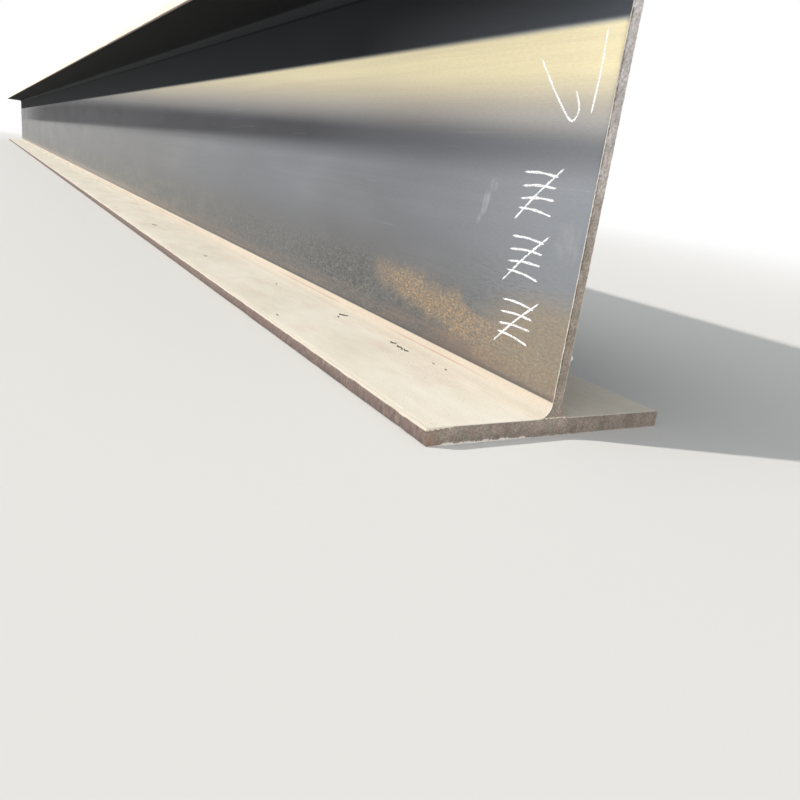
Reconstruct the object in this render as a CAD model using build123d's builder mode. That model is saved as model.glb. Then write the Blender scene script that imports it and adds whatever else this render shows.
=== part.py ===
# Hot-rolled steel H-beam with wide parallel flanges, standing on its lower flange.
# One length of stock as the mill's saw leaves it, with no holes, cut-outs or plates.
# Millimetres. X runs along the beam, Y across the flanges and Z up the web.
# The origin is the middle of the lower flange's underside.
import os

from build123d import *

# Driving dimensions of the rolled section
section_depth = 488.0
flange_width = 300.0
web_thickness = 11.0
flange_thickness = 18.0
# Inside corners between the web and the flanges
root_radius = 16.0
# Corners of the flange tips, which the edging rolls leave slightly round
toe_radius = 3.0

# Length that the stock is sawn to
stock_length = 10000.0

os.makedirs("parts", exist_ok=True)

with BuildPart() as h_beam:
    # The section stands on its lower flange in the plane of the sawn end at -X. In the sketch
    # X runs across the flanges and Y up the web.
    with BuildSketch(Plane.YZ.offset(-stock_length / 2)) as section:
        # Web, which reaches through both flanges
        Rectangle(web_thickness, section_depth, align=(Align.CENTER, Align.MIN))
        # Lower and upper flange
        with Locations((0, 0), (0, section_depth - flange_thickness)):
            Rectangle(flange_width, flange_thickness, align=(Align.CENTER, Align.MIN))

        # The inner columns of corners are the roots, where the web's faces meet the flanges
        left_roots, right_roots = section.vertices().group_by(Axis.X)[1:-1]
        fillet(left_roots + right_roots, root_radius)
        # The outermost columns are the corners of the flange tips
        corner_columns = section.vertices().group_by(Axis.X)
        fillet(corner_columns[0] + corner_columns[-1], toe_radius)
    extrude(amount=stock_length)

h_beam.part.label = "h_beam"
export_step(h_beam.part, "parts/h_beam.step")
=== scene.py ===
import functools
import math

import bpy
import numpy as np
from mathutils import Matrix, Vector


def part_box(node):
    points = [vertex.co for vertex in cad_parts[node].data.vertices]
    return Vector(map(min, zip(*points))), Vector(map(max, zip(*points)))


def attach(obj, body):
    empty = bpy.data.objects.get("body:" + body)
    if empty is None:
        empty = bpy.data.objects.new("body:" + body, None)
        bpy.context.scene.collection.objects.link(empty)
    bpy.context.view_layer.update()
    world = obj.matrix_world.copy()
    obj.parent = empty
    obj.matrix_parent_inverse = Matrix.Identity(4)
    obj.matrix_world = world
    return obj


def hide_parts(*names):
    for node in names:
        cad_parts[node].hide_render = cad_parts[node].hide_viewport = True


MM = 0.001

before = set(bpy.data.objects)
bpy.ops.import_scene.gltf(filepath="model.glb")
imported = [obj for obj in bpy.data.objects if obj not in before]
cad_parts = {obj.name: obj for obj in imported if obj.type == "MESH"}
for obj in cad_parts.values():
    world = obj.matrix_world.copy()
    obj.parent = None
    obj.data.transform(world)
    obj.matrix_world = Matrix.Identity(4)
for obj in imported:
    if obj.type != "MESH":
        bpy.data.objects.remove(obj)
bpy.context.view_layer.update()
beam_low, beam_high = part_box("h_beam")

# The rolled section. Its outer sizes are the solid's, and the rest are those that it was drawn with
beam_length = beam_high.x - beam_low.x
flange_width = beam_high.y - beam_low.y
section_depth = beam_high.z - beam_low.z
web_thickness = 11 * MM
flange_thickness = 18 * MM
root_radius = 16 * MM
toe_radius = 3 * MM

web_face = web_thickness / 2
flange_tip = flange_width / 2
root_top = flange_thickness + root_radius

# The sawn faces lie this far inside the solid's ends, so that the burrs stand within its box
face_inset = 2 * MM
# How far behind its edge a burr is as thick as the beam's skin
burr_root = 0.6 * MM
# Over how much of each end the web's bow and part of the wear die out
settling = 40 * MM

# Steps round a toe's corner, over half a flange, round a root, through half the web, up the web
# and through a flange. One in four of the sawn face's points goes on along the beam.
TOE_STEPS = 12
FLAT_STEPS = 100
ROOT_STEPS = 24
WEB_STEPS = 4
WEB_HEIGHT_STEPS = 336
FLANGE_STEPS = 12
COARSE = 4
# Knocks on each flange tip
KNOCKS = 30


def plane_waves(places, wavelength, seed, count=24):
    """Smooth noise from about -1 to 1: the sum of many plane waves of like wavelength, each in a
    direction and phase of its own, over 1.6 times the root of half their number."""
    draw = np.random.default_rng(seed)
    directions = draw.normal(size=(count, places.shape[-1]))
    directions /= np.linalg.norm(directions, axis=1)[:, None]
    pitches = wavelength * draw.uniform(0.7, 1.6, count)
    phases = draw.uniform(0, 2 * math.pi, count)
    waves = np.cos(places @ (2 * math.pi * directions / pitches[:, None]).T + phases)
    return waves.sum(-1) / math.sqrt(count / 2) / 1.6


def smooth_step(low, high, value):
    """0 below low and 1 above high, with the cubic 3t^2 - 2t^3 between."""
    t = np.clip((value - low) / (high - low), 0, 1)
    return t * t * (3 - 2 * t)


# The beam's skin


def section_columns():
    """Places across the section, with the flange's outer and inner height at each.

    From the left tip to the web's middle the columns follow the toe's quarter circle, the flat, the
    root's quarter circle and half of the web, and the other half mirrors them. At the angle a a
    quarter circle of radius r is r (1 - cos a) in from one side and r (1 - sin a) from the other."""
    toe = np.linspace(0, math.pi / 2, TOE_STEPS + 1)
    root = np.linspace(0, math.pi / 2, ROOT_STEPS + 1)[1:]
    root_start = web_face + root_radius
    toe_across = flange_tip - toe_radius * (1 - np.cos(toe))
    flat_across = np.linspace(flange_tip - toe_radius, root_start, FLAT_STEPS + 1)[1:]
    root_across = root_start - root_radius * np.sin(root)
    web_across = np.linspace(web_face, 0, WEB_STEPS + 1)[1:]
    across = np.concatenate([toe_across, flat_across, root_across, web_across])
    outer = np.zeros(len(across))
    outer[: TOE_STEPS + 1] = toe_radius * (1 - np.sin(toe))
    inner = flange_thickness - outer
    root_first = TOE_STEPS + 1 + FLAT_STEPS
    inner[root_first : root_first + ROOT_STEPS] = flange_thickness + root_radius * (1 - np.cos(root))
    inner[root_first + ROOT_STEPS :] = root_top

    def mirrored(half, sign=1):
        return np.concatenate([sign * half, half[::-1][1:]])

    return mirrored(across, -1), mirrored(outer), mirrored(inner)


def grid_quads(index):
    """The four corners of each cell of a grid of point numbers, in a turn from row to column."""
    corners = [index[:-1, :-1], index[1:, :-1], index[1:, 1:], index[:-1, 1:]]
    return np.stack(corners, -1).reshape(-1, 4)


def section_grid():
    """The sawn face as a grid: its points (Y, Z), its quads, and its rim in order.

    Each flange is a field of columns that reach from its outer height to its inner one in equal
    steps. The web is the field between the middle columns of both. Seen from +X, the quads and
    the rim run counter-clockwise."""
    across, outer, inner = section_columns()
    share = np.linspace(0, 1, FLANGE_STEPS + 1)
    heights = outer[:, None] + (inner - outer)[:, None] * share
    lower = np.stack([np.broadcast_to(across[:, None], heights.shape), heights], -1)
    upper = np.stack([lower[..., 0], section_depth - lower[..., 1]], -1)
    middle = len(across) // 2
    left, right = middle - WEB_STEPS, middle + WEB_STEPS
    web_heights = np.linspace(root_top, section_depth - root_top, WEB_HEIGHT_STEPS + 1)[1:-1]
    web = np.stack(np.meshgrid(across[left : right + 1], web_heights, indexing="ij"), -1)
    points = np.concatenate([field.reshape(-1, 2) for field in (lower, upper, web)])

    low = np.arange(heights.size).reshape(heights.shape)
    high = low + low.size
    between = 2 * low.size + np.arange(web[..., 0].size).reshape(web.shape[:2])
    between = np.concatenate([low[left : right + 1, -1:], between, high[left : right + 1, -1:]], axis=1)
    quads = np.concatenate([grid_quads(low), grid_quads(high)[:, ::-1], grid_quads(between)])
    rim = [low[:-1, 0], low[-1, :-1], low[:right:-1, -1], between[-1, :-1]]
    rim += [high[right:-1, -1], high[-1, :0:-1], high[:0:-1, 0], high[0, :-1]]
    rim += [high[:left, -1], between[0, :0:-1], low[left:0:-1, -1], low[0, :0:-1]]
    return points, quads, np.concatenate(rim)


def station_places():
    """Places along the beam, close at its ends and wide between.

    The gap grows with the distance from either end up to a limit. The places are where the running
    sum of 1 / gap passes whole numbers, stretched so that the last one is the end itself."""
    distance = np.linspace(0, beam_length - 2 * face_inset, 20001)
    from_far = distance[-1] - distance
    gap = np.minimum(np.minimum(4 * MM + 0.045 * distance, 6 * MM + 0.12 * from_far), 200 * MM)
    passed = np.concatenate([[0], np.cumsum(np.diff(distance) * 2 / (gap[1:] + gap[:-1]))])
    wanted = np.linspace(0, passed[-1], int(passed[-1]) + 2)
    return np.interp(wanted, passed, distance)[1:-1]


def web_bow(from_end, height):
    """How far the web stands out of its plane towards +Y: waves of a quarter millimetre, some 700 mm
    long, which die out at the roots as the square of a sine."""
    places = np.stack([from_end, 1.6 * height], -1)
    reach = (height - flange_thickness) / (section_depth - 2 * flange_thickness)
    hold = np.sin(math.pi * np.clip(reach, 0, 1)) ** 2
    return 0.25 * MM * hold * plane_waves(places, 700 * MM, seed=3)


def edge_wear(from_end, across, height):
    """How far the flange tips lie inside the true section: an edge that wanders by half a
    millimetre, and knocks, each a bell curve along the edge and up it."""
    near_tip = smooth_step(flange_tip - 4 * MM, flange_tip - 1 * MM, np.abs(across))
    edge = 2 * (across > 0) + (height > section_depth / 2)
    wander = plane_waves(np.stack([from_end, 0.6 * edge], -1), 130 * MM, seed=5)
    wear = 0.25 * MM * (1 + wander)
    draw = np.random.default_rng(11)
    for this_edge in range(4):
        rise = np.where(this_edge % 2, section_depth - height, height)
        places = beam_length * draw.uniform(0, 1, KNOCKS) ** 2
        depths = draw.uniform(0.4, 1.7, KNOCKS) * MM
        widths = draw.uniform(3, 10, KNOCKS) * MM
        levels = draw.choice([1.5, 5, 13, 16.5], KNOCKS) * MM
        for place, depth, width, level in zip(places, depths, widths, levels):
            bell = ((from_end - place) / width) ** 2 + ((rise - level) / (4 * MM)) ** 2
            wear = wear + np.where(edge == this_edge, depth * np.exp(-bell), 0)
    return np.maximum(wear, 0) * near_tip


def ragged(places, seed, sharpness=2.0):
    """A ragged edge from 0 to 1: waves of three sizes, added and sharpened by a power."""
    line = places[:, None]
    waves = plane_waves(line, 19 * MM, seed) + 0.8 * plane_waves(line, 6 * MM, seed + 1)
    waves = waves + 0.7 * plane_waves(line, 2.6 * MM, seed + 2)
    return np.clip(0.5 + 0.3 * waves, 0, 1) ** sharpness


def burr(across, height, seed):
    """The saw's burr on the rim of a sawn face: how far each rim point stands out of the face, how
    far it leans across and up, and how bare its steel is.

    The blade leaves the flange by its underside and the web by its left, so those edges carry the
    most. On the web it curls outwards and swells two thirds up, and its right edge has one spike."""
    out = np.full(len(across), 0.15 * MM)
    lean_across = np.zeros(len(across))
    lean_up = np.zeros(len(across))
    bare = np.full(len(across), 0.2)

    def on(edge, out_by, bareness_and_shade, across_by=0.0, up_by=0.0):
        """Gives the burr of one edge to the rim points on it."""
        for values, value in ((out, out_by), (bare, bareness_and_shade), (lean_across, across_by), (lean_up, up_by)):
            values[edge] = np.broadcast_to(value, len(across))[edge]

    flat = np.abs(across) < flange_tip - toe_radius
    on((np.abs(height - flange_thickness) < 0.6 * MM) & flat, 0.4 * MM, 0.85, up_by=0.35 * MM)

    heavy = smooth_step(20 * MM, 60 * MM, across) * (1 - smooth_step(128 * MM, 140 * MM, across))
    under_out = MM * (0.3 + (0.35 + 1.2 * heavy) * ragged(across, seed, 1.0))
    under_bare = 0.35 + 0.65 * np.clip(1.3 * heavy + 0.5 * ragged(across, seed + 10, 1.0), 0, 1)
    on((height < 0.1 * MM) & flat, under_out, under_bare)

    up_web = (height > root_top - 0.1 * MM) & (height < section_depth - root_top + 0.1 * MM)
    swell = np.exp(-(((height - 335 * MM) / (24 * MM)) ** 2))
    left_lean = MM * (0.55 + 1.3 * swell + 0.35 * ragged(height, seed + 20, 1.0))
    on(up_web & (across > 0), MM * (0.4 + 0.6 * ragged(height, seed + 30, 1.0)), 1.0, left_lean)
    right_lean = -MM * (0.15 + 0.35 * ragged(height, seed + 40, 1.5))
    spike = np.exp(-(((height - 80 * MM) / (2.5 * MM)) ** 2))
    right_out = MM * (0.2 + 0.4 * ragged(height, seed + 50) + 0.5 * spike)
    on(up_web & (across < 0), right_out, 0.6 + 0.4 * spike, right_lean - 2.2 * MM * spike)

    turn = np.clip((height - flange_thickness) / root_radius, 0, 1)
    in_root = (across > web_face) & (height > flange_thickness + 0.5 * MM) & (height < root_top)
    on(in_root, 0.4 * MM, 0.9, MM * (0.15 + 0.4 * turn), 0.3 * MM * (1 - turn))
    return out, lean_across, lean_up, bare


def sawn_end(points, rim, end_x, outwards, seed):
    """One sawn face and the collar behind it, with each point's bareness and its crease's painted shade.

    The face rolls by a tenth of a millimetre. Its rim stands out as a burr, and beside the web's
    left burr runs a crease, whose painted shade is given as less than bare. The collar is the rim
    set back by the burr's root, where it leans a quarter as far."""
    out, lean_across, lean_up, rim_bare = burr(points[rim, 0], points[rim, 1], seed)
    rise = 0.12 * MM * plane_waves(points, 40 * MM, seed + 60)
    rise = rise + 0.08 * MM * plane_waves(points, 9 * MM, seed + 61)
    bare = np.zeros(len(points))
    across, height = points.T
    up_web = (height > root_top - 4 * MM) & (height < section_depth - root_top)
    shaded_crease = up_web & (np.abs(across - web_face * 0.75) < 0.2 * MM)
    rise[shaded_crease] -= 0.5 * MM
    # Below 0 is the crease's painted shade
    bare[shaded_crease] = -0.6 * ragged(height[shaded_crease], seed + 70, 0.5)
    # The burr under the flange is rolled up over the face's lowest millimetres, in torn flakes
    step_height = flange_thickness / FLANGE_STEPS
    for row, reach in ((1, 1.3), (2, 0.45)):
        rolled_up = (np.abs(height - row * step_height) < 0.1 * MM) & (np.abs(across - 84 * MM) < 50 * MM)
        torn = np.clip(reach * ragged(across[rolled_up], seed + 80, 1.0) - 0.15 * row, 0, 1)
        bare[rolled_up] = torn
        rise[rolled_up] += 0.6 * MM * torn
    rise[rim] = out
    bare[rim] = rim_bare

    face = np.empty((len(points), 3))
    face[:, 0] = end_x + outwards * (rise - face_inset)
    face[:, 1:] = points
    lean = np.stack([lean_across, lean_up], -1)
    face[rim, 1:] += lean
    collar = np.empty((len(rim), 3))
    collar[:, 0] = end_x - outwards * (face_inset + burr_root)
    collar[:, 1:] = points[rim] + 0.25 * lean
    return face, collar, bare, rim_bare * (0.1 + 0.35 * ragged(points[rim].sum(1), seed + 90, 1.0))


def rolled_length(rim_points):
    """The rolled faces: every fourth point of the rim at each station along the beam, pushed inwards
    along the section's normal by the wear of its tips, and across by the web's bow."""
    tangent = np.roll(rim_points, -1, axis=0) - np.roll(rim_points, 1, axis=0)
    normal = np.stack([tangent[:, 1], -tangent[:, 0]], -1)
    normal /= np.linalg.norm(normal, axis=1)[:, None]
    normal = normal[::COARSE]
    coarse = rim_points[::COARSE]

    stations = station_places()
    from_end = np.repeat(stations[:, None], len(coarse), axis=1)
    across = np.broadcast_to(coarse[:, 0], from_end.shape)
    height = np.broadcast_to(coarse[:, 1], from_end.shape)
    settle = smooth_step(0, settling, from_end) * smooth_step(0, settling, beam_length - from_end)
    wear = edge_wear(from_end, across, height) * (0.35 + 0.65 * settle)
    bow = web_bow(from_end, height) * settle * (np.abs(across) < web_face + root_radius)
    places_y = across - wear * normal[:, 0] + bow
    places_z = height - wear * normal[:, 1]
    return np.stack([beam_low.x + face_inset + from_end, places_y, places_z], -1)


def make_mesh(name, points, faces, materials, sharp_angle=38):
    """A closed mesh from an array of points and lists of corners, shaded smooth but for its edges."""
    mesh = bpy.data.meshes.new(name)
    mesh.from_pydata(points.tolist(), [], [list(face) for face in faces])
    for material in materials:
        mesh.materials.append(material)
    mesh.polygons.foreach_set("use_smooth", np.ones(len(mesh.polygons), bool))
    mesh.set_sharp_from_angle(angle=math.radians(sharp_angle))
    mesh.update()
    made = bpy.data.objects.new(name, mesh)
    bpy.context.scene.collection.objects.link(made)
    return made


def rolled_skin(skin_material, sawn_material):
    """The whole beam as one closed skin: two sawn faces, a collar behind each, and the rolled faces
    between. A strip of many-sided faces joins each collar to the coarser ring next to it."""
    points, quads, rim = section_grid()
    near, near_collar, near_bare_and_shade, collar_bare = sawn_end(points, rim, beam_low.x, -1, seed=21)
    far, far_collar, far_bare_and_shade, _ = sawn_end(points, rim, beam_high.x, 1, seed=321)
    tube = rolled_length(points[rim])
    tube_count = tube.shape[0] * tube.shape[1]
    all_points = np.concatenate([near, near_collar, tube.reshape(-1, 3), far_collar, far])

    collar_first = len(near)
    tube_first = collar_first + len(rim)
    far_collar_first = tube_first + tube_count
    far_first = far_collar_first + len(rim)
    ring = tube_first + np.arange(tube_count).reshape(tube.shape[:2])
    ahead = np.roll(ring, -1, axis=1)
    sides = np.stack([ring[:-1], ahead[:-1], ahead[1:], ring[1:]], -1).reshape(-1, 4)

    collar = collar_first + np.arange(len(rim))
    far_collar_ring = far_collar_first + np.arange(len(rim))
    far_rim = far_first + rim
    lips = [
        np.stack([rim, np.roll(rim, -1), np.roll(collar, -1), collar], -1),
        np.stack([far_collar_ring, np.roll(far_collar_ring, -1), np.roll(far_rim, -1), far_rim], -1),
    ]
    spread = (COARSE * np.arange(ring.shape[1])[:, None] + np.arange(COARSE + 1)) % len(rim)
    strips = [
        np.concatenate([collar[spread], ahead[0][:, None], ring[0][:, None]], axis=1),
        np.concatenate([ring[-1][:, None], ahead[-1][:, None], far_collar_ring[spread[:, ::-1]]], axis=1),
    ]
    skin_faces = [face for part in [sides] + strips + lips for face in part.tolist()]
    sawn_faces = quads[:, ::-1].tolist() + (far_first + quads).tolist()

    made = make_mesh("rolled_beam", all_points, skin_faces + sawn_faces, [skin_material, sawn_material])
    slots = np.zeros(len(skin_faces) + len(sawn_faces), np.int32)
    slots[len(skin_faces) :] = 1
    made.data.polygons.foreach_set("material_index", slots)
    bareness_and_shade = np.zeros(len(all_points), np.float32)
    bareness_and_shade[: len(near)] = near_bare_and_shade
    bareness_and_shade[collar] = collar_bare
    bareness_and_shade[far_first:] = far_bare_and_shade
    made.data.attributes.new("bare_steel_and_crease_shade", "FLOAT", "POINT").data.foreach_set("value", bareness_and_shade)
    return made


# Chalk marks on the web, such as a stockyard's count. Each stroke is a list of places
# (distance from the near end, height) in millimetres.
BAR_LENGTH = 52
BAR_GAP = 12
# Points on each piece of a stroke's path, and across the stroke
PATH_POINTS = 60
STROKE_POINTS = 7


def tally(first_height, from_end):
    """Four bars side by side and one across them, drawn up the web."""
    bars = []
    for number, slant in enumerate((-2, 1, 0.5, -1)):
        height = first_height + BAR_GAP * number
        middle = (from_end + BAR_LENGTH / 2, height + 1.5)
        bars.append([(from_end, height + slant), middle, (from_end + BAR_LENGTH, height - slant)])
    across = [
        (from_end + BAR_LENGTH + 4, first_height - 10),
        (from_end + BAR_LENGTH / 2, first_height + 18),
        (from_end - 6, first_height + 3.6 * BAR_GAP),
    ]
    return bars + [across]


CHALK_STROKES = (
    tally(80, 56)
    + tally(146, 58)
    + tally(210, 55)
    + [
        [(27, 302), (25, 338), (26, 372)],
        [(52, 322), (44, 306), (52, 296), (76, 316), (110, 352)],
    ]
)


def smooth_path(corners, step):
    """Points at even steps along a smooth curve through the corners.

    Between two corners it is the Catmull-Rom cubic, whose slope at each is half the way from the
    corner before to the one after."""
    knots = np.array(corners, float)
    padded = np.concatenate([[2 * knots[0] - knots[1]], knots, [2 * knots[-1] - knots[-2]]])
    t = np.linspace(0, 1, PATH_POINTS, endpoint=False)[:, None]
    runs = []
    for before, start, end, after in zip(padded, padded[1:], padded[2:], padded[3:]):
        square = (2 * before - 5 * start + 4 * end - after) * t**2
        cube = (3 * start - before - 3 * end + after) * t**3
        runs.append(0.5 * (2 * start + (end - before) * t + square + cube))
    path = np.concatenate(runs + [knots[-1:]])
    along = np.concatenate([[0], np.cumsum(np.linalg.norm(np.diff(path, axis=0), axis=1))])
    even = np.linspace(0, along[-1], int(along[-1] / step) + 1)
    return np.stack([np.interp(even, along, path[:, k]) for k in (0, 1)], -1)


def chalk_stroke(corners, seed):
    """One stroke as a thin ridge of chalk: its top points and the points under them, in grids.

    It is as wide as the stick's ragged edge. It is a tenth of a millimetre high in the middle, and
    sinks into the web at its sides and where the web's grain left gaps."""
    columns = np.linspace(-1, 1, STROKE_POINTS)
    step = 0.6 * MM
    path = smooth_path(corners, step / MM) * MM
    slope = np.gradient(path, axis=0)
    slope /= np.linalg.norm(slope, axis=1)[:, None]
    side = np.stack([slope[:, 1], -slope[:, 0]], -1)
    along = step * np.arange(len(path))
    width = MM * (1.25 + 0.25 * plane_waves(along[:, None], 24 * MM, seed))
    width = width + 0.22 * MM * plane_waves(along[:, None], 2.2 * MM, seed + 40)
    ends = smooth_step(0, 3 * MM, along) * smooth_step(0, 5 * MM, along[-1] - along)
    width = width * (0.25 + 0.75 * ends)
    flat = path[:, None, :] + side[:, None, :] * (width[:, None] * columns)[..., None]
    grain = plane_waves(flat.reshape(-1, 2), 2.0 * MM, seed + 80).reshape(flat.shape[:2])
    rise = 0.14 * MM * (1 - columns**2) - 0.02 * MM - 0.22 * MM * smooth_step(0.55, 1.0, grain)
    from_end, height = flat[..., 0], flat[..., 1]
    surface = web_face + web_bow(from_end, height) * smooth_step(0, settling, from_end)
    top = np.stack([beam_low.x + from_end, surface + rise, height], -1)
    under = top.copy()
    under[..., 1] = surface - 0.3 * MM
    return top, under


def chalk_marks(material):
    """Every stroke, closed round its sides, in one mesh."""
    all_points, faces, first = [], [], 0
    for number, corners in enumerate(CHALK_STROKES):
        top, under = chalk_stroke(corners, 80 + number)
        rows, across = top.shape[:2]
        index = first + np.arange(rows * across).reshape(rows, across)
        below = index + rows * across
        edge = np.concatenate([index[:-1, 0], index[-1, :-1], index[:0:-1, -1], index[0, :0:-1]])
        edge_below = edge + rows * across
        faces += grid_quads(index).tolist() + grid_quads(below)[:, ::-1].tolist()
        faces += np.stack([edge, edge_below, np.roll(edge_below, -1), np.roll(edge, -1)], -1).tolist()
        all_points += [top.reshape(-1, 3), under.reshape(-1, 3)]
        first += 2 * rows * across
    return make_mesh("chalk_strokes", np.concatenate(all_points), faces, [material], 60)


# Chips of scale that lie on the lower flange: (distance from the near end, place across, length,
# width, turn in degrees), the first four in millimetres
SCALE_CHIPS = (
    (254, 28, 6.5, 3.6, 20),
    (262, 30, 4.2, 2.6, -30),
    (273, 28, 8.5, 3.4, 10),
    (293, 26, 9.5, 3.4, 25),
    (453, 24, 14.0, 5.4, 30),
    (440, 38, 4.0, 2.2, -15),
    (170, 22, 3.2, 1.8, 0),
    (196, 23, 2.6, 1.4, 40),
    (446, 130, 3.6, 2.0, 15),
    (690, 44, 4.5, 2.2, -20),
    (980, 92, 7.0, 3.0, 35),
    (1490, 92, 14.0, 5.0, 30),
)
# A chip is a disc of so many rings and sides
CHIP_RINGS = 5
CHIP_SIDES = 24


def scale_chips(material):
    """Each chip is a curled leaf: a disc of rings whose outline wavers, with a ripple along it, bent
    up at its ends by the square of the distance from its middle. Its underside is at 0.3 of its
    top's height, and a quarter of a millimetre or more below it."""
    rings = np.linspace(0.2, 1, CHIP_RINGS)[:, None]
    turns = np.linspace(0, 2 * math.pi, CHIP_SIDES, endpoint=False)
    all_points, faces, first = [], [], 0
    for number, (from_end, across, long, wide, turn) in enumerate(SCALE_CHIPS):
        outline = 1 + 0.16 * np.cos(3 * turns + number) + 0.09 * np.cos(5 * turns + 2 * number)
        x = rings * outline * np.cos(turns) * long / 2
        y = rings * outline * np.sin(turns) * wide / 2
        lift = 0.35 + 1.3 * (2 * x / long) ** 2 + 0.2 * np.cos(4 * x / wide)
        cosine, sine = math.cos(math.radians(turn)), math.sin(math.radians(turn))
        place_x = beam_low.x + MM * (from_end + cosine * x - sine * y)
        place_y = MM * (across + sine * x + cosine * y)
        low = np.minimum(lift - 0.25, 0.3 * lift)
        top = np.stack([place_x, place_y, flange_thickness + MM * lift], -1)
        under = np.stack([place_x, place_y, flange_thickness + MM * low], -1)
        size = lift.size
        index = first + np.arange(size).reshape(lift.shape)
        ahead = np.roll(index, -1, axis=1)
        leaf = np.stack([index[:-1], index[1:], ahead[1:], ahead[:-1]], -1).reshape(-1, 4)
        brim = np.stack([index[-1], index[-1] + size, ahead[-1] + size, ahead[-1]], -1)
        faces += leaf.tolist() + (leaf[:, ::-1] + size).tolist() + brim.tolist()
        faces += [index[0].tolist(), (index[0] + size)[::-1].tolist()]
        all_points += [top.reshape(-1, 3), under.reshape(-1, 3)]
        first += 2 * size
    return make_mesh("scale_chips", np.concatenate(all_points), faces, [material], 50)


# Materials


# Settings that many nodes share
SMOOTH = {"interpolation_type": "SMOOTHSTEP"}
COLOURS = {"data_type": "RGBA"}
MINUS = {"operation": "SUBTRACT"}
TIMES = {"operation": "MULTIPLY"}
LARGER = {"operation": "MAXIMUM"}
SIZE = {"operation": "ABSOLUTE"}
# A reach in millimetres that ends nowhere on the beam
ENDLESS = 1e6
# Sizes in millimetres, as the nodes take them
half_length = beam_length / 2 / MM
root_low = flange_thickness / MM
root_high = root_top / MM
root_reach = (web_face + root_radius) / MM
tip = flange_tip / MM
upper_root_low = (section_depth - root_top) / MM


def linear(hex_colour):
    """A colour written as sRGB hex, turned to the linear one that the nodes take."""
    shares = [int(hex_colour[k : k + 2], 16) / 255 for k in (1, 3, 5)]
    return tuple(s / 12.92 if s <= 0.04045 else ((s + 0.055) / 1.055) ** 2.4 for s in shares) + (1.0,)


def node(tree, kind, *values, inputs=None, stops=(), output=None, **settings):
    """Adds a node with its settings, and gives its first open output or the named one.

    The values fill its open inputs in order, and inputs fills them by name. A socket is linked and
    a hex colour turned to linear. The stops of a colour ramp are pairs of a place and a colour."""
    made = tree.nodes.new("ShaderNode" + kind)
    for name, setting in settings.items():
        setattr(made, name, setting)
    wanted = list(zip([socket for socket in made.inputs if socket.enabled], values))
    wanted += [(made.inputs[name], value) for name, value in (inputs or {}).items()]
    for socket, value in wanted:
        if isinstance(value, bpy.types.NodeSocket):
            tree.links.new(value, socket)
        else:
            socket.default_value = linear(value) if isinstance(value, str) else value
    for number, (place, colour) in enumerate(stops):
        ramp = made.color_ramp.elements
        stop = ramp[number] if number < 2 else ramp.new(place)
        stop.position = place
        stop.color = linear(colour)
    if output:
        return made.outputs[output]
    return next((socket for socket in made.outputs if socket.enabled), None)


def new_material(name):
    """A material with an empty tree, and what adds a node to it."""
    material = bpy.data.materials.new(name)
    material.use_nodes = True
    material.node_tree.nodes.clear()
    return material, functools.partial(node, material.node_tree)


def beam_places(add):
    """A point's place in millimetres, its distance from the near end, its place across and its
    height."""
    place = add("VectorMath", add("TexCoord", output="Object"), (1 / MM,) * 3, **TIMES)
    axes = add("SeparateXYZ", place).node.outputs
    from_end = add("Math", axes["X"], half_length, operation="ADD")
    return place, from_end, axes["Y"], axes["Z"]


def soft_spot(add, place, centre, reach, tilt=0):
    """1 in the middle of an oval and 0 outside it. Its centre is (distance from the near end, place
    across, height) and its reach is along the same axes, all in millimetres. It is tilted on the web
    by some degrees. Without a limit across it goes through the web."""
    turned = {"Location": (centre[0] - half_length, centre[1], centre[2])}
    turned["Rotation"] = (0, math.radians(tilt), 0)
    turned["Scale"] = reach
    off = add("VectorMath", add("Mapping", place, inputs=turned, vector_type="TEXTURE"), operation="LENGTH")
    return add("MapRange", off, 1.0, 0.35, **SMOOTH)


def faded(add, strength, *ramps, **settings):
    """A strength times each ramp. A ramp is a value, two levels of it, and, where they aren't 0 and
    1, the shares of the strength that are left at them."""
    for ramp in ramps:
        strength = add("Math", strength, add("MapRange", *ramp, **settings), **TIMES)
    return strength


def tinted(add, colour, tint, *ramps, strength=1.0):
    """A colour with a tint laid over it, as strongly as a strength times each smooth ramp."""
    return add("Mix", faded(add, strength, *ramps, **SMOOTH), colour, tint, **COLOURS)


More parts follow.
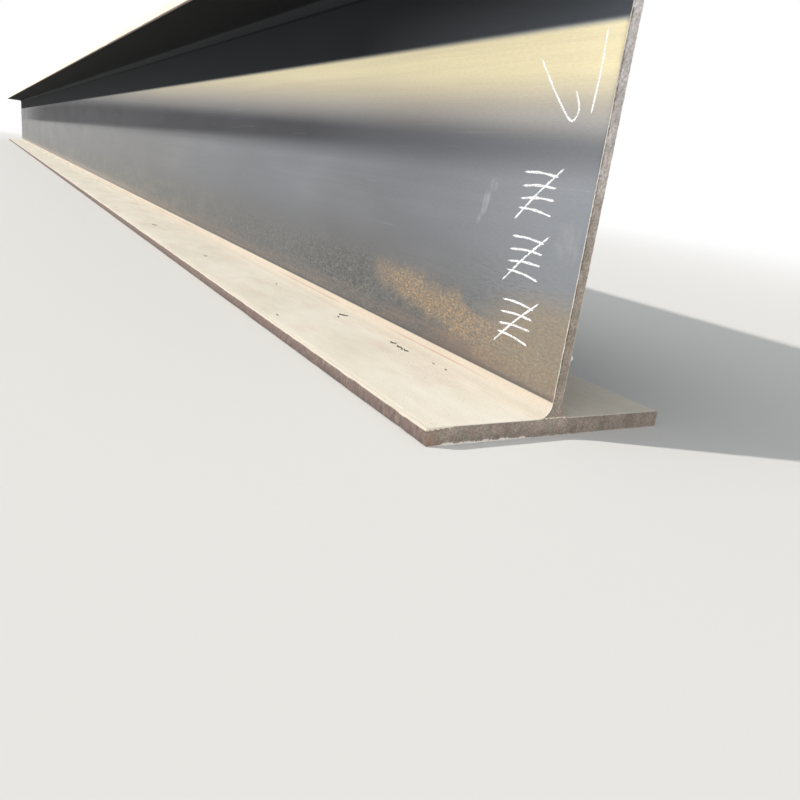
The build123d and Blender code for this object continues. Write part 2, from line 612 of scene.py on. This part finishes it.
def mill_scale(add, place, from_end, height):
    """The colour of clean scale and its clouds, with a belt of painted shade and a band of painted
    sunlight above it. The blue-grey clouds are some 150 mm high and drawn out along the rolling
    direction, with long fine streaks and grain. The scale is painted paler towards the near end as a
    sheen, darker past the rust, and less blue further off."""
    drawn_out = add("VectorMath", place, (1 / 4, 1, 1), **TIMES)
    clouds = add("TexNoise", drawn_out, 1 / 150, 4.0)
    colour = add("ValToRGB", clouds, stops=[(0.3, "#66696f"), (0.5, "#6e7178"), (0.7, "#797c82")])
    colour = tinted(add, colour, "#686765", (from_end, 900, 2200, 0.0, 0.6))
    roll_lines = add("VectorMath", place, (1 / 45, 1, 1), **TIMES)
    streaks = add("TexNoise", roll_lines, 1 / 12, 5.0, 0.65)
    colour = tinted(add, colour, "#64676d", (streaks, 0.42, 0.72, 0.0, 0.36))
    # Paler towards the near end, as a painted sheen
    colour = tinted(add, colour, "#8f949b", (from_end, 340, 0, 0.0, 0.55))
    shaded = add("Math", soft_spot(add, place, (490, 0, 165), (240, ENDLESS, 80)), 0.3, **TIMES)
    colour = add("Mix", shaded, colour, "#56575b", **COLOURS)
    # A belt of painted shade two thirds up. Its upper edge climbs with the distance, and it fades
    # towards both ends of the beam.
    shade_belt_height = add("MapRange", from_end, 0, 4500, 30, 165)
    up_shade_belt = add("Math", add("Math", height, 258, **MINUS), shade_belt_height, operation="DIVIDE")
    shade_belt = add("MapRange", up_shade_belt, 1.35, 0.5, 0.0, 0.88, **SMOOTH)
    shade_belt = faded(add, shade_belt, (height, 232, 272), **SMOOTH)
    shade_belt = faded(add, shade_belt, (from_end, 0, 700, 0.55, 1.0), (from_end, 6500, 10000, 1.0, 0.4))
    shade_belt = faded(add, shade_belt, (clouds, 0.35, 0.6, 0.93, 1.0))
    colour = add("Mix", shade_belt, colour, "#3f4045", **COLOURS)
    # Above it a band of painted sunlight, in a pale straw tint. The tint is browner at its foot.
    climbing = add("Math", from_end, -0.025, height, operation="MULTIPLY_ADD")
    painted_lighting = add("MapRange", climbing, 266, 350, 0.0, 1.0, **SMOOTH)
    painted_lighting = faded(add, painted_lighting, (height, 382, 374), **SMOOTH)
    painted_lighting = faded(add, painted_lighting, (from_end, 4200, 300, 0.1, 0.92))
    painted_sunlight = add("ValToRGB", streaks, stops=[(0.36, "#d5cba6"), (0.64, "#c9bf9e")])
    painted_sunlight = tinted(add, painted_sunlight, "#b8ab96", (climbing, 345, 290))
    colour = add("Mix", painted_lighting, colour, painted_sunlight, **COLOURS)
    # Scratches of a hand's length, where lengths of stock slid on each other
    slid = add("Mapping", place, inputs={"Rotation": (0, math.radians(-7), 0), "Scale": (1 / 70, 1, 1)})
    scratches = add("TexNoise", slid, 1 / 2.2, 1.0)
    colour = tinted(add, colour, "#a2a4a8", (scratches, 0.72, 0.76, 0.0, 0.12))
    # The rolls' grain is finer than a tenth of a millimetre, and is drawn at 1.4 mm to show
    rolled_grain = add("TexNoise", add("VectorMath", place, (1 / 5, 1, 1), **TIMES), 1 / 1.4, 2.0, 0.7)
    grain = add("MapRange", rolled_grain, 0.3, 0.7, 0.94, 1.06)
    return add("VectorMath", colour, grain, operation="SCALE"), clouds, shade_belt


def ripples(add, place):
    """Fish-scale ripples of 4 mm, where the scale crept as it cooled, drawn out along the beam."""
    crept = add("VectorMath", place, (1 / 2.4, 1, 1), **TIMES)
    return add("TexNoise", crept, 1 / 3.8, 1.5, inputs={"Distortion": 1.6})


def low_web_marks(add, colour, place, from_end, height, ripple):
    """What shows low on the web: darkening towards the bottom, ripples, a slanting hatch near the end,
    a dark patch past the rust, a brown foot with thin lines, and pale dust along the foot further off."""
    # Darker towards the bottom of the web
    low_darkening = ((height, 195, 85), (from_end, 3000, 1200, 0.22, 0.5), (from_end, 30, 240, 0.25, 1.0))
    colour = tinted(add, colour, "#53524d", *low_darkening)
    low = add("MapRange", height, 150, 75, 0.0, 0.38, **SMOOTH)
    patch = soft_spot(add, place, (510, 0, 82), (260, ENDLESS, 44))
    patch = faded(add, patch, (from_end, 370, 450), **SMOOTH)
    ripple_shading = add("Math", patch, 0.15, low, operation="MULTIPLY_ADD")
    colour = add("Mix", add("Math", patch, 0.28, **TIMES), colour, "#4a4a49", **COLOURS)
    # The ripples' crests are painted paler and their troughs darker, as highlight and shade on their relief
    colour = tinted(add, colour, "#85837d", (ripple, 0.53, 0.63), strength=ripple_shading)
    colour = tinted(add, colour, "#424242", (ripple, 0.47, 0.38), strength=ripple_shading)

    slanted = add("Mapping", place, inputs={"Rotation": (0, math.radians(38), 0), "Scale": (1 / 7, 1, 1)})
    hatch = add("TexNoise", slanted, 1 / 1.9, 1.0)
    near_end = soft_spot(add, place, (60, 0, 118), (200, ENDLESS, 42), -8)
    colour = tinted(add, colour, "#5a5b58", (hatch, 0.5, 0.62, 0.0, 0.3), strength=near_end)

    foot = add("MapRange", height, 66, 46, **SMOOTH)
    brown = ((from_end, 140, 330, 0.7, 0.1), (from_end, 20, 160, 0.5, 1.0))
    colour = tinted(add, colour, "#7a6c63", *brown, strength=foot)
    lines = add("TexNoise", add("VectorMath", place, (1 / 28, 1, 1), **TIMES), 1 / 4, 3.0)
    colour = tinted(add, colour, "#8b776b", (lines, 0.48, 0.62, 0.0, 0.4), strength=foot)

    mottled = add("TexNoise", add("VectorMath", place, (1 / 2.5, 1, 1), **TIMES), 1 / 32, 5.0, 0.7)
    dust = ((mottled, 0.44, 0.6), (from_end, 700, 1800, 0.0, 0.4), (height, 150, 105))
    colour = tinted(add, colour, "#7d776e", *dust)
    return tinted(add, colour, "#908d83", (from_end, 1000, 4000, 0.0, 0.6), strength=foot)


def rust_bloom(add, place, from_end, across, height):
    """A thin olive stain beside the near end, where ochre rust has bloomed over it, and the rust's
    colour. On the web's left face a band of rust climbs from the near end and stops short at
    400 mm. On the right face the rust is low and near the end only."""
    wander = add("TexNoise", place, 1 / 30, 5.0, 0.65)
    loose_end = add("Math", wander, 70.0, from_end, operation="MULTIPLY_ADD")
    middle = add("Math", from_end, 0.105, 59.0, operation="MULTIPLY_ADD")
    off_middle = add("Math", add("Math", height, middle, **MINUS), **SIZE)
    off_middle = add("Math", from_end, 0.03, off_middle, operation="MULTIPLY_ADD")
    off_middle = add("Math", wander, -40.0, off_middle, operation="MULTIPLY_ADD")
    band = add("MapRange", off_middle, 20, -6, **SMOOTH)
    band = faded(add, band, (loose_end, 452, 422), **SMOOTH)
    band = faded(add, band, (from_end, 60, 180, 0.5, 1.0), (from_end, 300, 400, 1.0, 0.6), **SMOOTH)
    gap = soft_spot(add, place, (130, 0, 108), (55, ENDLESS, 26))
    band = add("Math", band, gap, use_clamp=True, **MINUS)
    band = faded(add, band, (across, -1, 1))
    right_place = add("Math", add("Math", height, 1.2, from_end, operation="MULTIPLY_ADD"), 0.7, **TIMES)
    right_place = add("Math", wander, 120.0, right_place, operation="MULTIPLY_ADD")
    right = add("MapRange", right_place, 250, 150, **SMOOTH)
    right = faded(add, right, (across, 1, -1, 0.0, 0.8))
    band = add("Math", band, right, **LARGER)
    stain = soft_spot(add, place, (20, 0, 84), (150, ENDLESS, 62))
    stain = faded(add, stain, (across, -1, 1))

    brushed = {"Rotation": (0, math.radians(28), 0), "Scale": (1 / 2, 1, 1)}
    flecks = add("TexNoise", add("Mapping", place, inputs=brushed), 1 / 2.6, 2.0, 0.7)
    stops = [(0.30, "#675b4d"), (0.43, "#80705a"), (0.56, "#98836a"), (0.70, "#b39e80")]
    fleck_colour = add("ValToRGB", flecks, stops=stops)
    clumps = add("MapRange", add("TexNoise", place, 1 / 5, 3.0), 0.36, 0.62, 0.45, 0.9, **SMOOTH)
    band = add("Math", band, add("Math", stain, 0.4, **TIMES), **LARGER)
    return stain, add("Math", band, clumps, **TIMES), fleck_colour


def chalk_smears(add, place, across):
    """Chalk dust rubbed onto the left face of the web in three places."""
    rubbed = add("TexNoise", add("VectorMath", place, (1, 1, 1 / 3), **TIMES), 1 / 7, 4.0)
    smears = add("Math", soft_spot(add, place, (20, 0, 188), (30, ENDLESS, 26)), 0.35, **TIMES)
    others = (((168, 0, 208), (9, ENDLESS, 26), -25), ((156, 0, 230), (12, ENDLESS, 9), 20))
    for centre, reach, tilt in others:
        smears = add("Math", smears, soft_spot(add, place, centre, reach, tilt), **LARGER)
    smears = faded(add, smears, (across, -1, 1))
    return faded(add, smears, (rubbed, 0.35, 0.72, 0.0, 0.5), **SMOOTH)


def yard_dust(add, place, out_from_web, height):
    """Cement-pale dust and its colour. It lies on both flanges and up the lower roots, with thin red
    lines and darker specks, and it runs down over the toes to an edge that wanders by a millimetre
    or two. Halfway round the roots and the lower toes' corners it is painted darker, as shade that
    offsets the key lamp, which lights them most."""
    drawn_out = add("VectorMath", place, (1 / 2.5, 1, 1), **TIMES)
    drifts = add("TexNoise", drawn_out, 1 / 60, 6.0, 0.62)
    colour = add("ValToRGB", drifts, stops=[(0.3, "#e0d9c9"), (0.5, "#e9e3d4"), (0.72, "#f0ebdf")])
    blush = add("TexNoise", drawn_out, 1 / 38, 3.0)
    colour = tinted(add, colour, "#dcc8b8", (blush, 0.5, 0.72, 0.0, 0.35))
    in_root = add("MapRange", out_from_web, root_reach, web_face / MM)
    over_toe = add("MapRange", out_from_web, tip - toe_radius / MM, tip)
    steep = add("Math", in_root, over_toe, **LARGER)
    # Painted shade on the curves, darkest at 0.65 of the way round
    steepest, most = 0.65, 0.68
    off_steepest = add("Math", steep, steepest, **MINUS)
    painted_lighting = add("Math", off_steepest, off_steepest, **TIMES)
    painted_lighting = add("Math", painted_lighting, -most / steepest**2, most, operation="MULTIPLY_ADD")
    painted_lighting = faded(add, painted_lighting, (over_toe, 0.0, 1.0, 1.0, 0.85), (height, 80, 60))
    colour = add("Mix", painted_lighting, colour, "#b2a99b", **COLOURS)
    pink = add("MapRange", height, root_low + 4, root_low + 12, 0.0, 0.22, **SMOOTH)
    pink = faded(add, pink, (height, 80, 60))
    colour = add("Mix", pink, colour, "#b39585", **COLOURS)
    roll_lines = add("VectorMath", place, (1 / 45, 1, 1), **TIMES)
    lines = add("MapRange", add("TexNoise", roll_lines, 1 / 3, 3.0), 0.44, 0.60, **SMOOTH)
    for along, level, redness in ((height, root_low + 8.5, 0.5), (out_from_web, root_reach + 1.5, 0.3)):
        off_line = add("Math", add("Math", along, level, **MINUS), **SIZE)
        colour = tinted(add, colour, "#a47c6e", (off_line, 1.2, 0.4, 0.0, redness), strength=lines)
    specks = add("TexNoise", place, 1 / 3.2, 1.5)
    colour = tinted(add, colour, "#9d927f", (specks, 0.70, 0.76, 0.0, 0.45))
    grain = add("TexNoise", place, 1 / 1.8, 2.0, 0.7)
    colour = add("VectorMath", colour, add("MapRange", grain, 0.3, 0.7, 0.93, 1.05), operation="SCALE")
    # Pocks that drops of rain left in the dust: dark in the middle, with a pale rim
    drops = add("TexVoronoi", place, inputs={"Scale": 1 / 7, "Randomness": 1.0}, output="Distance")
    rained_on = soft_spot(add, place, (160, 46, 18), (95, 34, ENDLESS))
    colour = tinted(add, colour, "#a39783", (drops, 0.2, 0.1, 0.0, 0.55), strength=rained_on)
    off_rim = add("Math", add("Math", drops, 0.27, **MINUS), **SIZE)
    colour = tinted(add, colour, "#f8f4ea", (off_rim, 0.07, 0.01, 0.0, 0.6), strength=rained_on)

    toe_edge = add("Math", add("TexNoise", drawn_out, 1 / 9, 4.0), 2.6, 12.6, operation="MULTIPLY_ADD")
    above_toe = add("MapRange", add("Math", height, toe_edge, **MINUS), 0.0, 1.4, **SMOOTH)
    lower_dust = faded(add, above_toe, (height, root_high + 1.0, root_high - 0.6), **SMOOTH)
    upper = add("Math", height, (section_depth - flange_thickness) / MM, **MINUS)
    on_upper = add("MapRange", upper, 1.5, 5.0, **SMOOTH)
    return add("Math", lower_dust, on_upper, **LARGER), colour


def hot_rolled_material():
    """Hot-rolled steel with mill scale, as it lies in a yard.

    Mill scale is a thin hard coat of iron oxide: blue-grey and satin, a little metallic, and rippled
    where it crept. Cement-pale dust lies on what faces up, brown rust is on the toes, and ochre
    rust blooms low on the web near the end."""
    material, add = new_material("hot_rolled_steel")
    place, from_end, across, height = beam_places(add)
    scale_colour, clouds, shade_belt = mill_scale(add, place, from_end, height)
    ripple = ripples(add, place)
    colour = low_web_marks(add, scale_colour, place, from_end, height, ripple)
    stain, bloom, fleck_colour = rust_bloom(add, place, from_end, across, height)
    colour = add("Mix", add("Math", stain, 0.6, **TIMES), colour, "#8e8471", **COLOURS)
    colour = add("Mix", bloom, colour, fleck_colour, **COLOURS)
    colour = add("Mix", chalk_smears(add, place, across), colour, "#b9bcc0", **COLOURS)

    # A dark line runs where the root meets the web, just above the dust
    colour = tinted(add, colour, "#48474a", (height, root_high + 7, root_high + 0.5, 0.0, 0.6))
    # Under the upper flange the web is painted nearly black, as the flange's shadow. Low down at the
    # open end the painted shadow is greyer.
    painted_flange_shadow = add("MapRange", height, 373, 382, 0.0, 0.9, **SMOOTH)
    shadow_lifted_near_end = faded(add, add("MapRange", from_end, 520, 0), (height, 386, 432, 1.0, 0.1))
    flange_shadow_colour = add("Mix", shadow_lifted_near_end, "#34373b", "#7a7f86", **COLOURS)
    colour = add("Mix", painted_flange_shadow, colour, flange_shadow_colour, **COLOURS)
    # Painted shade, darkest on the flange's face there and greyer on its root; the beam's underside is
    # brown
    colour = tinted(add, colour, "#1d1e21", (height, upper_root_low - 6, upper_root_low + 2, 0.0, 0.9))
    off_root = add("Math", add("Math", height, upper_root_low + 7, **MINUS), **SIZE)
    colour = tinted(add, colour, "#54585c", (off_root, 8, 5, 0.0, 0.55))
    colour = tinted(add, colour, "#6a5f58", (height, 1.2, 0.4, 0.0, 0.6))

    # Rusty toes: brown and mauve, streaked across by the edging rolls
    out_from_web = add("Math", across, **SIZE)
    on_toe = add("MapRange", out_from_web, tip - 3.4, tip - 1.6, **SMOOTH)
    rolled_edge = add("VectorMath", place, (1, 1, 1 / 2), **TIMES)
    rust = add("TexNoise", rolled_edge, 1 / 5, 4.0, 0.7)
    rust_colour = add("ValToRGB", rust, stops=[(0.3, "#574b48"), (0.5, "#71635d"), (0.7, "#8e8078")])
    patches = add("TexNoise", place, 1 / 30, 4.0)
    rust_colour = tinted(add, rust_colour, "#6e5a58", (patches, 0.45, 0.65, 0.0, 0.5))
    up_toe = add("MapRange", height, 1, 14, 0.78, 1.1)
    rust_colour = add("VectorMath", rust_colour, up_toe, operation="SCALE")
    colour = add("Mix", on_toe, colour, rust_colour, **COLOURS)

    dust, dust_colour = yard_dust(add, place, out_from_web, height)
    colour = add("Mix", dust, colour, dust_colour, **COLOURS)
    bare = add("Attribute", output="Fac", attribute_name="bare_steel_and_crease_shade")
    colour = tinted(add, colour, "#f2ede4", (bare, 0.3, 0.75))

    covered = add("Math", dust, add("Math", on_toe, bloom, **LARGER), use_clamp=True, **LARGER)
    metal = add("Math", covered, -0.4, 0.4, operation="MULTIPLY_ADD", use_clamp=True)
    # Where shade is painted, the scale is also duller and more metallic, so that it renders darker
    shade_zones = add("Math", painted_flange_shadow, add("Math", shade_belt, 0.9, **TIMES), **LARGER)
    bare_shade_zones = add("Math", shade_zones, add("Math", 1.0, covered, **MINUS), **TIMES)
    metal = add("Math", bare_shade_zones, 0.62, metal, operation="MULTIPLY_ADD", use_clamp=True)
    satin = add("MapRange", clouds, 0.3, 0.7, 0.40, 0.52)
    rough = add("Math", satin, add("Math", covered, 0.9, **TIMES), **LARGER)
    rough = add("Math", rough, add("Math", shade_zones, 1.06, **TIMES), **LARGER)

    # Relief in millimetres: ripples in the scale, grain in the dust and rust, streaks on the toes
    grain = add("TexNoise", place, 1 / 1.6, 2.0)
    low = add("MapRange", height, 170, 60, 0.05, 0.22)
    relief = add("Math", ripple, low, **TIMES)
    grain_height = add("Math", covered, 0.28, 0.04, operation="MULTIPLY_ADD")
    relief = add("Math", grain, grain_height, relief, operation="MULTIPLY_ADD")
    relief = add("Math", rust, add("Math", on_toe, 0.5, **TIMES), relief, operation="MULTIPLY_ADD")
    bumps = add("Bump", inputs={"Height": relief, "Distance": MM, "Strength": 0.8})
    looks = {"Base Color": colour, "Metallic": metal, "Roughness": rough, "Normal": bumps}
    add("OutputMaterial", add("BsdfPrincipled", inputs=looks))
    return material


def sawn_material():
    """Steel cut by a cold saw and then left in the rain: a dull metal face with the blade's fine
    strokes across it, gone brown and mauve low down where it rusted, and bright on its burrs."""
    material, add = new_material("sawn_steel")
    place, _, across, height = beam_places(add)
    blotches = add("TexNoise", place, 1 / 13, 4.0, 0.6)
    rusty = add("ValToRGB", blotches, stops=[(0.26, "#9b8c80"), (0.5, "#b2a397"), (0.74, "#c8b9ad")])
    silver = add("ValToRGB", blotches, stops=[(0.26, "#c9c1bd"), (0.5, "#dfd8d5"), (0.74, "#f0eae9")])
    fine = add("TexNoise", place, 1 / 3, 3.0)
    height_wander = add("Math", blotches, 160.0, height, operation="MULTIPLY_ADD")
    colour = tinted(add, rusty, silver, (height_wander, 200, 440))
    olive = add("MapRange", add("TexNoise", place, 1 / 19, 2.0), 0.5, 0.62, 0.0, 0.5, **SMOOTH)
    olive = faded(add, olive, (height, 420, 120, 0.15, 1.0))
    colour = add("Mix", olive, colour, "#a09e90", **COLOURS)
    # The blade's strokes lean over by 60 degrees and lie some 2 mm apart
    swung = add("Mapping", place, inputs={"Rotation": (math.radians(60), 0, 0)})
    strokes = add("TexNoise", add("VectorMath", swung, (1, 1 / 12, 1), **TIMES), 1 / 2, 2.0)
    colour = tinted(add, colour, "#7b6f67", (strokes, 0.5, 0.66, 0.0, 0.28))
    # Painted glints: the colour brightens and dims grain by grain. The grains are too fine to see,
    # and drawn at 2.2 mm to show.
    painted_glint = add("MapRange", add("TexNoise", place, 1 / 2.2, 2.0), 0.3, 0.7, 0.74, 1.28)
    colour = add("VectorMath", colour, painted_glint, operation="SCALE")

    # Ochre rust on the left tip, and dust spilled over its top edge
    ochre_off = add("VectorMath", place, (-half_length, 146, 4), operation="DISTANCE")
    mottled = add("TexNoise", place, 1 / 5, 4.0, 0.7)
    ochre_off = add("Math", mottled, 26.0, ochre_off, operation="MULTIPLY_ADD")
    colour = tinted(add, colour, "#b08a70", (ochre_off, 30, 10, 0.0, 0.7))
    spill = add("MapRange", across, 112, 146, 17.9, 14.5)
    spill = add("Math", add("Math", fine, 5.0, height, operation="MULTIPLY_ADD"), spill, **MINUS)
    spilled = faded(add, add("MapRange", spill, 2.6, 3.2, **SMOOTH), (height, 19.5, 19.0))
    colour = add("Mix", spilled, colour, "#fff6e2", **COLOURS)

    # Below 0 it is the crease's painted shade, and above 0 the bright burrs
    bare = add("Attribute", output="Fac", attribute_name="bare_steel_and_crease_shade")
    colour = tinted(add, colour, "#4a3f3a", (bare, -0.1, -0.5, 0.0, 0.75))
    colour = tinted(add, colour, "#fffaf0", (bare, 0.3, 0.75))
    relief = add("Math", strokes, 0.35, add("Math", fine, 0.6, **TIMES), operation="MULTIPLY_ADD")
    bumps = add("Bump", inputs={"Height": relief, "Distance": MM, "Strength": 0.7})
    rough = add("MapRange", fine, 0.3, 0.7, 0.45, 0.65)
    looks = {"Base Color": colour, "Metallic": 0.3, "Roughness": rough, "Normal": bumps}
    add("OutputMaterial", add("BsdfPrincipled", inputs=looks))
    return material


def chalk_material():
    """Blackboard chalk rubbed on steel: matt, white, with the grain of the powder."""
    material, add = new_material("chalk")
    place = beam_places(add)[0]
    powder = add("TexNoise", place, 1 / 0.9, 2.0)
    colour = add("ValToRGB", powder, stops=[(0.35, "#cfd2d8"), (0.62, "#eff1f6")])
    looks = {"Base Color": colour, "Roughness": 0.95, "Specular IOR Level": 0.2}
    add("OutputMaterial", add("BsdfPrincipled", inputs=looks))
    return material


def loose_scale_material():
    """A chip of scale that has sprung off: near black, with a dull gloss."""
    material, add = new_material("loose_mill_scale")
    place = beam_places(add)[0]
    flakes = add("TexNoise", place, 1 / 1.1, 3.0)
    colour = add("ValToRGB", flakes, stops=[(0.35, "#14110f"), (0.65, "#362e28")])
    add("OutputMaterial", add("BsdfPrincipled", inputs={"Base Color": colour, "Roughness": 0.6}))
    return material


rolled = rolled_skin(hot_rolled_material(), sawn_material())
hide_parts("h_beam")
chalk = chalk_marks(chalk_material())
chips = scale_chips(loose_scale_material())
for piece in (rolled, chalk, chips):
    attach(piece, "root")


# The camera stands half a metre off the near sawn face, and looks down along the web
PHOTO_PIXELS = 800
focal_pixels = 715.0
camera_place = Vector((beam_low.x + face_inset - 0.4995, 0.4857, 0.2314))
view_forward = Vector((0.8139, -0.4962, -0.3021)).normalized()
view_right = Vector((-0.4822, -0.8671, 0.1248))
view_right = (view_right - view_right.dot(view_forward) * view_forward).normalized()
view_up = view_right.cross(view_forward)
camera_data = bpy.data.cameras.new("camera")
camera_data.sensor_width = 36.0
camera_data.lens = focal_pixels / PHOTO_PIXELS * camera_data.sensor_width
camera_data.clip_start = 0.02
camera_data.clip_end = 400.0
camera = bpy.data.objects.new("camera", camera_data)
camera_axes = Matrix((view_right, view_up, -view_forward)).transposed()
camera.matrix_world = Matrix.Translation(camera_place) @ camera_axes.to_4x4()
bpy.context.scene.collection.objects.link(camera)
bpy.context.scene.camera = camera


# A pale studio floor that fades into the white behind it
FLOOR_HALF_SIZE = 150.0
floor_material, add = new_material("matt_studio_floor")
off_middle = add("VectorMath", add("TexCoord", output="Object"), operation="ABSOLUTE")
off_axes = add("SeparateXYZ", off_middle).node.outputs
past_ends = add("MapRange", off_axes["X"], 6.5, 14.0, **SMOOTH)
past_sides = add("MapRange", off_axes["Y"], 0.9, 5.0, **SMOOTH)
fade = add("Math", past_ends, past_sides, **LARGER)
seen = add("Math", add("LightPath", output="Is Camera Ray"), fade, **TIMES)
matt = {"Base Color": "#e2e2e0", "Roughness": 0.9, "Specular IOR Level": 0.1}
white = add("Emission", "#ffffff", 1.0)
add("OutputMaterial", add("MixShader", seen, add("BsdfPrincipled", inputs=matt), white))
floor_mesh = bpy.data.meshes.new("floor")
corners = [(-1, -1, 0), (1, -1, 0), (1, 1, 0), (-1, 1, 0)]
corners = [(FLOOR_HALF_SIZE * x, FLOOR_HALF_SIZE * y, z) for x, y, z in corners]
floor_mesh.from_pydata(corners, [], [(0, 1, 2, 3)])
floor_mesh.materials.append(floor_material)
floor = bpy.data.objects.new("floor", floor_mesh)
bpy.context.scene.collection.objects.link(floor)


# A soft sky all round, which the camera and reflections see as white
world = bpy.data.worlds.new("studio")
world.use_nodes = True
world.node_tree.nodes.clear()
add = functools.partial(node, world.node_tree)
rays = add("LightPath").node.outputs
shown = add("Math", rays["Is Camera Ray"], rays["Is Glossy Ray"], **LARGER)
shown = add("Math", shown, rays["Is Transmission Ray"], **LARGER)
soft_sky = add("Background", "#eef1f5", 0.36)
add("OutputWorld", add("MixShader", shown, soft_sky, add("Background", "#ffffff", 1.0)))
bpy.context.scene.world = world

# A key lamp from the left, whose height sets how far down the upper flange shades the web, and a
# broad soft one above it
LAMPS = (
    ("key", 3.2, 2, "#fffaf2", (-0.38, -0.78, -0.50)),
    ("fill", 0.9, 60, "#ffffff", (0.10, -0.50, -0.86)),
)
for name, energy, angle, colour, direction in LAMPS:
    lamp_data = bpy.data.lights.new(name, "SUN")
    lamp_data.energy = energy
    lamp_data.angle = math.radians(angle)
    lamp_data.color = linear(colour)[:3]
    lamp = bpy.data.objects.new(name, lamp_data)
    lamp.rotation_euler = Vector(direction).to_track_quat("-Z", "Y").to_euler()
    bpy.context.scene.collection.objects.link(lamp)

bpy.context.scene.view_settings.view_transform = "Standard"
